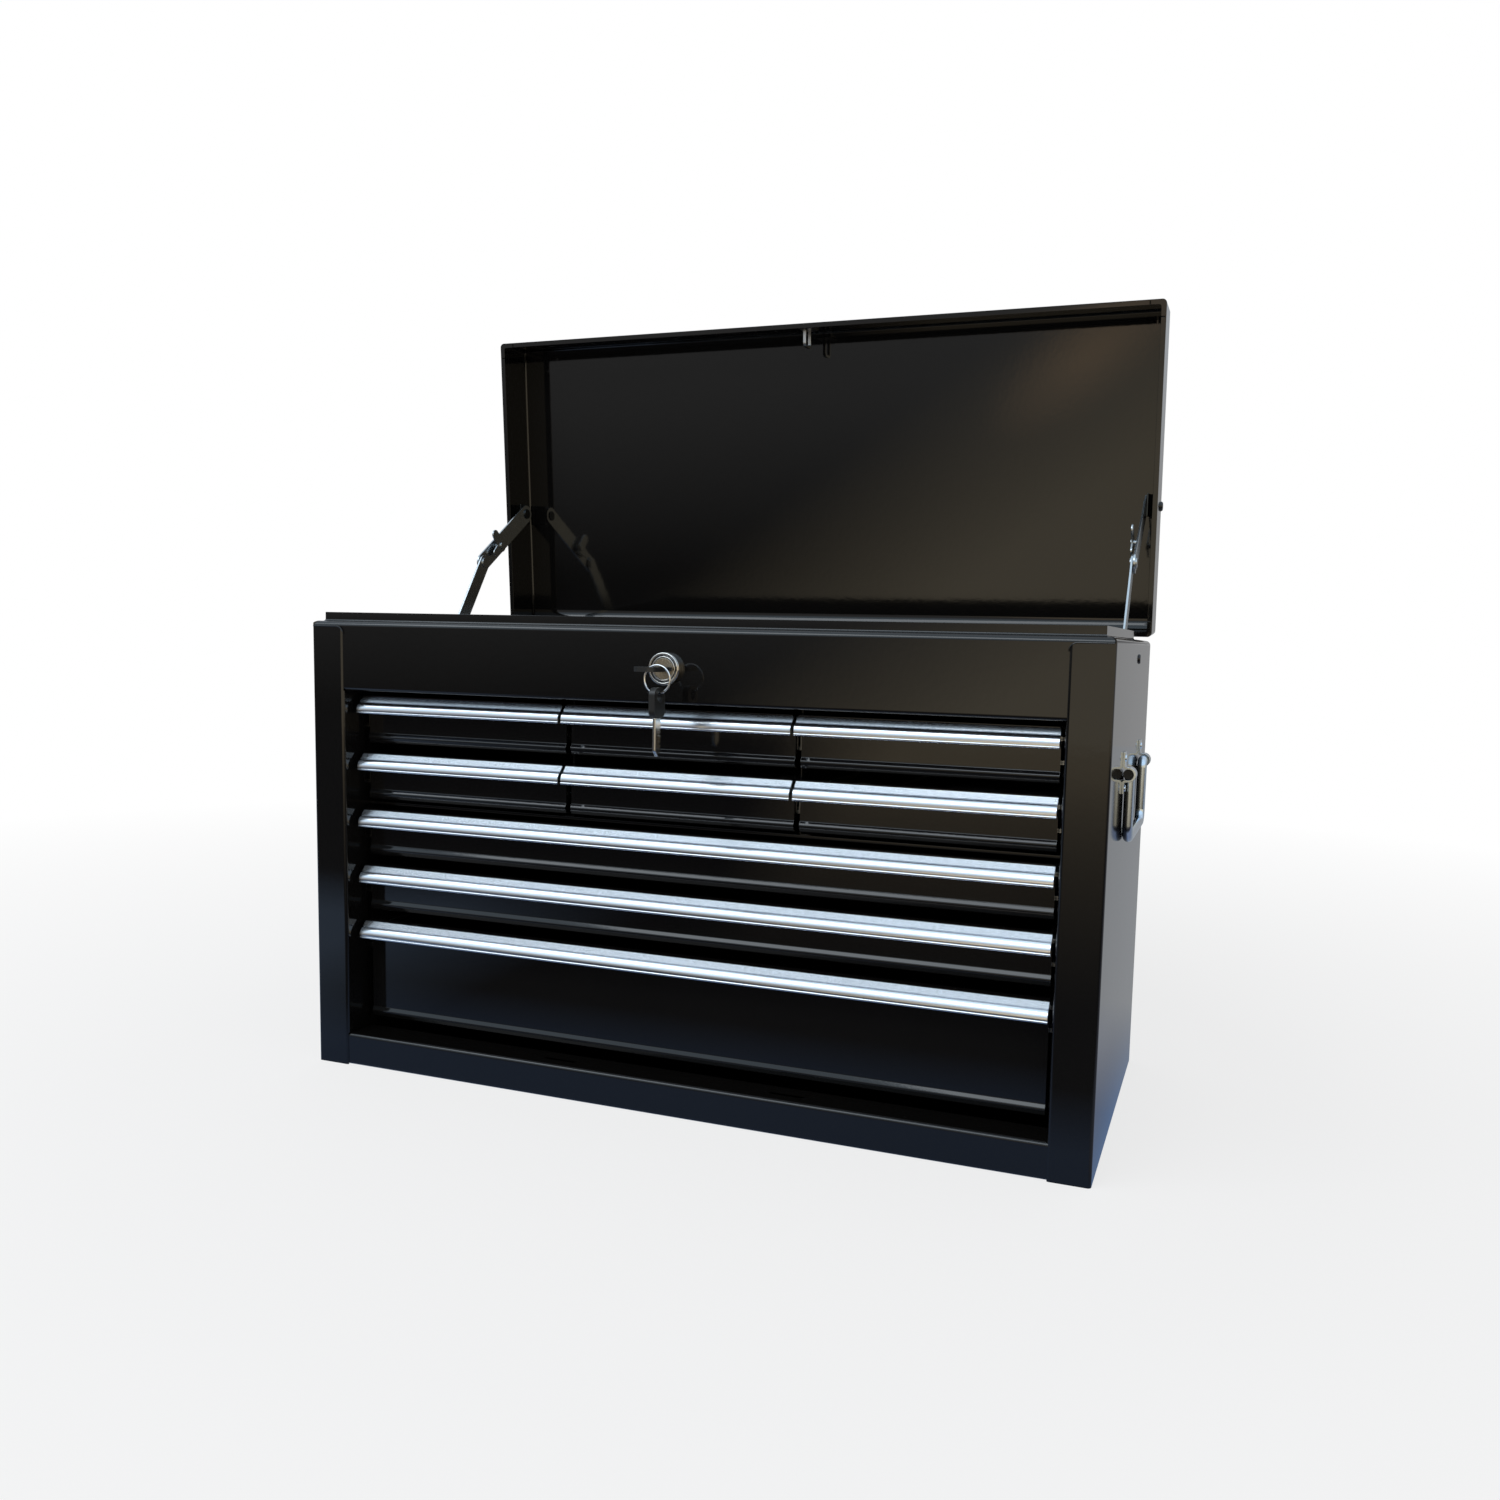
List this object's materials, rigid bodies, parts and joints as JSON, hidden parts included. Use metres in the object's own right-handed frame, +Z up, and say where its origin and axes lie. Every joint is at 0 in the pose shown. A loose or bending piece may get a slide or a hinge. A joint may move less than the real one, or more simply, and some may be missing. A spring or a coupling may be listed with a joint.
{
  "type": "machinist tool chest",
  "caption": "Sheet-metal top chest with an open lid on folding stays, shallow ball-slide drawers with extruded pulls, a keyed lock and side bail handles.",
  "frame": {"origin": "centre of the underside of the base", "axes": "+X to the right seen from the front, drawer fronts face -Y, +Z up"},
  "size_m": [0.6178, 0.3405, 0.61],
  "materials": {
    "case_paint": "very glossy black powder coat",
    "drawer_paint": "very glossy black powder coat",
    "pull_aluminium": "bright drawn aluminium",
    "slide_zinc": "zinc-plated steel",
    "stay_zinc": "zinc-plated steel",
    "handle_chrome": "bright plated steel",
    "lock_nickel": "nickel-plated",
    "lock_steel": "zinc-plated steel",
    "key_black": "black moulded head on a nickel-plated blade",
    "ring_steel": "bright spring wire"
  },
  "bodies": {
    "case": {"side_panel_left": "case_paint", "side_panel_right": "case_paint", "back_panel": "case_paint", "base_pan": "case_paint", "front_panel": "case_paint", "till_floor": "case_paint", "cross_shelf": "case_paint", "slide_walls": "case_paint", "column_dividers": "case_paint", "slide_rails": "slide_zinc", "hinge_leaf_case": "stay_zinc", "hinge_pin": "stay_zinc", "lock_housing": "lock_nickel", "lock_nut": "lock_steel", "handle_clips": "handle_chrome", "stay_pivots": "stay_zinc"},
    "lid": {"lid_tray": "case_paint", "hinge_leaf_lid": "stay_zinc", "lid_staple": "lock_steel", "stay_brackets": "stay_zinc"},
    "lock": {"lock_plug": "lock_nickel", "lock_cam": "lock_steel", "key_in_lock": "key_black"},
    "key_ring": {"key_ring": "ring_steel"},
    "spare_key": {"spare_key": "key_black"},
    "bail_left": {"bail_left": "handle_chrome"},
    "bail_right": {"bail_right": "handle_chrome"},
    "stay_lower_left": {"stay_lower_left": "stay_zinc"},
    "stay_upper_left": {"stay_upper_left": "stay_zinc"},
    "stay_lever_left": {"stay_lever_left": "stay_zinc"},
    "stay_lower_right": {"stay_lower_right": "stay_zinc"},
    "stay_upper_right": {"stay_upper_right": "stay_zinc"},
    "stay_lever_right": {"stay_lever_right": "stay_zinc"},
    "drawer_1_left": {"drawer_1_left_box": "drawer_paint", "drawer_1_left_pull": "pull_aluminium", "drawer_1_left_runners": "slide_zinc"},
    "drawer_1_middle": {"drawer_1_middle_box": "drawer_paint", "drawer_1_middle_pull": "pull_aluminium", "drawer_1_middle_runners": "slide_zinc"},
    "drawer_1_right": {"drawer_1_right_box": "drawer_paint", "drawer_1_right_pull": "pull_aluminium", "drawer_1_right_runners": "slide_zinc"},
    "drawer_2_left": {"drawer_2_left_box": "drawer_paint", "drawer_2_left_pull": "pull_aluminium", "drawer_2_left_runners": "slide_zinc"},
    "drawer_2_middle": {"drawer_2_middle_box": "drawer_paint", "drawer_2_middle_pull": "pull_aluminium", "drawer_2_middle_runners": "slide_zinc"},
    "drawer_2_right": {"drawer_2_right_box": "drawer_paint", "drawer_2_right_pull": "pull_aluminium", "drawer_2_right_runners": "slide_zinc"},
    "drawer_3": {"drawer_3_box": "drawer_paint", "drawer_3_pull": "pull_aluminium", "drawer_3_runners": "slide_zinc"},
    "drawer_4": {"drawer_4_box": "drawer_paint", "drawer_4_pull": "pull_aluminium", "drawer_4_runners": "slide_zinc"},
    "drawer_5": {"drawer_5_box": "drawer_paint", "drawer_5_pull": "pull_aluminium", "drawer_5_runners": "slide_zinc"}
  },
  "joints": [
    {"name": "lid_hinge", "type": "hinge", "parent": "case", "child": "lid", "pos_m": [0, 0.134, 0.344], "axis": [1, 0, 0], "range_deg": [0, 86.4]},
    {"name": "stay_lower_left_pivot", "type": "hinge", "parent": "case", "child": "stay_lower_left", "pos_m": [-0.2885, 0.029, 0.331], "axis": [1, 0, 0], "range_deg": [0, 123.21]},
    {"name": "stay_upper_left_pivot", "type": "hinge", "parent": "lid", "child": "stay_upper_left", "pos_m": [-0.2885, 0.14612, 0.45398], "axis": [1, 0, 0], "range_deg": [-101.42, 0]},
    {"name": "stay_lever_left_pivot", "type": "hinge", "parent": "stay_upper_left", "child": "stay_lever_left", "pos_m": [-0.2885, 0.09904, 0.41993], "axis": [1, 0, 0], "range_deg": [0, 18], "stiffness_Nm_per_rad": 0.02, "springref_deg": -5.73},
    {"name": "bail_left_swing", "type": "hinge", "parent": "case", "child": "bail_left", "pos_m": [-0.3038, 0.0075, 0.255], "axis": [0, 1, 0], "range_deg": [0, 100]},
    {"name": "stay_lower_right_pivot", "type": "hinge", "parent": "case", "child": "stay_lower_right", "pos_m": [0.2885, 0.029, 0.331], "axis": [1, 0, 0], "range_deg": [0, 123.21]},
    {"name": "stay_upper_right_pivot", "type": "hinge", "parent": "lid", "child": "stay_upper_right", "pos_m": [0.2885, 0.14612, 0.45398], "axis": [1, 0, 0], "range_deg": [-101.42, 0]},
    {"name": "stay_lever_right_pivot", "type": "hinge", "parent": "stay_upper_right", "child": "stay_lever_right", "pos_m": [0.2885, 0.09904, 0.41993], "axis": [1, 0, 0], "range_deg": [0, 18], "stiffness_Nm_per_rad": 0.02, "springref_deg": -5.73},
    {"name": "bail_right_swing", "type": "hinge", "parent": "case", "child": "bail_right", "pos_m": [0.3038, 0.0075, 0.255], "axis": [0, -1, 0], "range_deg": [0, 100]},
    {"name": "lock_turn", "type": "hinge", "parent": "case", "child": "lock", "pos_m": [0, -0.129, 0.317], "axis": [0, -1, 0], "range_deg": [0, 90]},
    {"name": "key_ring_swing", "type": "hinge", "parent": "lock", "child": "key_ring", "pos_m": [0.0059, -0.1545, 0.317], "axis": [0, 1, 0], "range_deg": [-8, 8]},
    {"name": "spare_key_swing", "type": "hinge", "parent": "key_ring", "child": "spare_key", "pos_m": [0.0059, -0.1545, 0.30107], "axis": [1, 0, 0], "range_deg": [-40, 12]},
    {"name": "drawer_1_left_slide", "type": "slide", "parent": "case", "child": "drawer_1_left", "axis": [0, -1, 0], "range_m": [0, 0.17]},
    {"name": "drawer_1_middle_slide", "type": "slide", "parent": "case", "child": "drawer_1_middle", "axis": [0, -1, 0], "range_m": [0, 0.0205]},
    {"name": "drawer_1_right_slide", "type": "slide", "parent": "case", "child": "drawer_1_right", "axis": [0, -1, 0], "range_m": [0, 0.17]},
    {"name": "drawer_2_left_slide", "type": "slide", "parent": "case", "child": "drawer_2_left", "axis": [0, -1, 0], "range_m": [0, 0.17]},
    {"name": "drawer_2_middle_slide", "type": "slide", "parent": "case", "child": "drawer_2_middle", "axis": [0, -1, 0], "range_m": [0, 0.17]},
    {"name": "drawer_2_right_slide", "type": "slide", "parent": "case", "child": "drawer_2_right", "axis": [0, -1, 0], "range_m": [0, 0.17]},
    {"name": "drawer_3_slide", "type": "slide", "parent": "case", "child": "drawer_3", "axis": [0, -1, 0], "range_m": [0, 0.17]},
    {"name": "drawer_4_slide", "type": "slide", "parent": "case", "child": "drawer_4", "axis": [0, -1, 0], "range_m": [0, 0.17]},
    {"name": "drawer_5_slide", "type": "slide", "parent": "case", "child": "drawer_5", "axis": [0, -1, 0], "range_m": [0, 0.17]}
  ],
  "couplings": [
    {"joint": "stay_lower_left_pivot", "follows": "lid_hinge", "ratio": 1.4203},
    {"joint": "stay_upper_left_pivot", "follows": "lid_hinge", "ratio": -1.1681},
    {"joint": "stay_lower_right_pivot", "follows": "lid_hinge", "ratio": 1.4203},
    {"joint": "stay_upper_right_pivot", "follows": "lid_hinge", "ratio": -1.1681}
  ]
}
